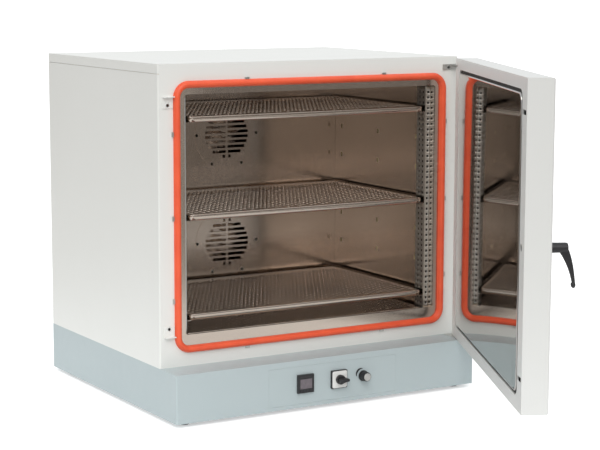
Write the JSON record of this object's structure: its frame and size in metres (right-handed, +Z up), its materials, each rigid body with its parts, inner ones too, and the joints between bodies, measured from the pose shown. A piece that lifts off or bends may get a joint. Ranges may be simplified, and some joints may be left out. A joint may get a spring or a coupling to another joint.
{
  "type": "drying oven",
  "caption": "Free-standing laboratory drying oven with a side-hinged insulated door, steel chamber, sliding shelves, twin fans and controls in its base.",
  "frame": {"origin": "on the base plate's underside, below the middle of the casing's front face", "axes": "+X to the oven's right seen from the front, +Y to its back, +Z up"},
  "size_m": [0.9422, 1.5716, 0.9],
  "materials": {
    "casing_paint": "fine satin powder coat",
    "base_paint": "fine satin powder coat",
    "door_paint": "fine satin powder coat",
    "zinc_sheet": "zinc-plated sheet",
    "stainless": "bright cold-rolled stainless",
    "stainless_polished": "mirror polish",
    "gasket_silicone": "smooth silicone",
    "black_plastic": "moulded, slight sheen",
    "knob_plastic": "black body, silver cap",
    "white_plastic": "white face in a black rim",
    "display_window": "grey window",
    "key_plastic": "satin",
    "black_rubber": "matt",
    "insulation": "mineral wool",
    "motor_paint": "cast",
    "plated_steel": "zinc plated",
    "bronze": "sintered"
  },
  "bodies": {
    "casing": {"base_chassis": "base_paint", "base_plate": "zinc_sheet", "feet": "black_rubber", "control_panel": "base_paint", "controller_housing": "black_plastic", "display_window": "display_window", "switch_plate": "white_plastic", "switch_body": "black_plastic", "limiter_body": "black_plastic", "relay": "black_plastic", "cable_gland": "black_plastic", "side_panel_left": "casing_paint", "side_panel_right": "casing_paint", "top_cover": "casing_paint", "rear_panel": "casing_paint", "rear_bulkhead": "zinc_sheet", "front_frame": "casing_paint", "casing_floor": "zinc_sheet", "chamber_liner": "stainless", "insulation_jacket": "insulation", "back_baffle": "stainless", "fan_grille_upper": "stainless", "fan_grille_lower": "stainless", "screws": "plated_steel", "ring_heaters": "stainless", "fan_motor_upper": "motor_paint", "fan_motor_lower": "motor_paint", "uprights_front": "stainless", "shelf_rails": "stainless", "floor_plate": "stainless", "door_gasket": "gasket_silicone", "gasket_clips": "plated_steel", "latch_keepers": "plated_steel", "hinge_bracket_upper": "plated_steel", "hinge_bracket_lower": "plated_steel", "temperature_probe": "stainless", "vent_tube": "stainless"},
    "fan_wheel_upper": {"fan_wheel_upper": "stainless"},
    "fan_wheel_lower": {"fan_wheel_lower": "stainless"},
    "shelf_upper": {"shelf_upper": "stainless"},
    "shelf_middle": {"shelf_middle": "stainless"},
    "shelf_lower": {"shelf_lower": "stainless"},
    "switch_lever": {"switch_lever": "black_plastic"},
    "limiter_knob": {"limiter_knob": "knob_plastic"},
    "controller_key_1": {"controller_key_1": "key_plastic"},
    "controller_key_2": {"controller_key_2": "key_plastic"},
    "controller_key_3": {"controller_key_3": "key_plastic"},
    "controller_key_4": {"controller_key_4": "key_plastic"},
    "door": {"door_outer_shell": "door_paint", "door_inner_frame": "door_paint", "door_inner_pan": "stainless_polished", "door_insulation": "insulation", "door_thermal_break": "black_rubber", "rod_guides": "plated_steel", "hinge_bushes": "bronze"},
    "handle": {"door_handle": "black_plastic", "latch_cam": "plated_steel"},
    "latch_rod_upper": {"latch_rod_upper": "plated_steel"},
    "latch_rod_lower": {"latch_rod_lower": "plated_steel"}
  },
  "joints": [
    {"name": "door_hinge", "type": "hinge", "parent": "casing", "child": "door", "pos_m": [0.44, -0.04, 0.5], "axis": [0, 0, 1], "range_deg": [-64.05, 66]},
    {"name": "handle_turn", "type": "hinge", "parent": "door", "child": "handle", "pos_m": [0.10861, -0.83293, 0.503], "axis": [0.8992, -0.4376, 0], "range_deg": [0, 90]},
    {"name": "upper_rod_slide", "type": "slide", "parent": "door", "child": "latch_rod_upper", "axis": [0, 0, 1], "range_m": [0, 0.014]},
    {"name": "lower_rod_slide", "type": "slide", "parent": "door", "child": "latch_rod_lower", "axis": [0, 0, -1], "range_m": [0, 0.014]},
    {"name": "fan_lower_spin", "type": "hinge", "parent": "casing", "child": "fan_wheel_lower", "pos_m": [0.013, 0.54, 0.347], "axis": [0, 1, 0], "continuous": true},
    {"name": "fan_upper_spin", "type": "hinge", "parent": "casing", "child": "fan_wheel_upper", "pos_m": [0.013, 0.54, 0.657], "axis": [0, 1, 0], "continuous": true},
    {"name": "shelf_lower_slide", "type": "slide", "parent": "casing", "child": "shelf_lower", "axis": [0, -1, 0], "range_m": [0, 0.12]},
    {"name": "shelf_middle_slide", "type": "slide", "parent": "casing", "child": "shelf_middle", "axis": [0, -1, 0], "range_m": [0, 0.12]},
    {"name": "shelf_upper_slide", "type": "slide", "parent": "casing", "child": "shelf_upper", "axis": [0, -1, 0], "range_m": [0, 0.12]},
    {"name": "switch_turn", "type": "hinge", "parent": "casing", "child": "switch_lever", "pos_m": [0.019, -0.1, 0.063], "axis": [0, -1, 0], "range_deg": [0, 90]},
    {"name": "limiter_turn", "type": "hinge", "parent": "casing", "child": "limiter_knob", "pos_m": [0.095, -0.1, 0.063], "axis": [0, -1, 0], "range_deg": [-135, 135]},
    {"name": "key_1_press", "type": "slide", "parent": "casing", "child": "controller_key_1", "axis": [0, 1, 0], "range_m": [0, 0.0008], "stiffness_N_per_m": 300},
    {"name": "key_2_press", "type": "slide", "parent": "casing", "child": "controller_key_2", "axis": [0, 1, 0], "range_m": [0, 0.0008], "stiffness_N_per_m": 300},
    {"name": "key_3_press", "type": "slide", "parent": "casing", "child": "controller_key_3", "axis": [0, 1, 0], "range_m": [0, 0.0008], "stiffness_N_per_m": 300},
    {"name": "key_4_press", "type": "slide", "parent": "casing", "child": "controller_key_4", "axis": [0, 1, 0], "range_m": [0, 0.0008], "stiffness_N_per_m": 300}
  ],
  "couplings": [
    {"joint": "upper_rod_slide", "follows": "handle_turn", "m_per_rad": 0.0089125},
    {"joint": "lower_rod_slide", "follows": "handle_turn", "m_per_rad": 0.0089125}
  ]
}
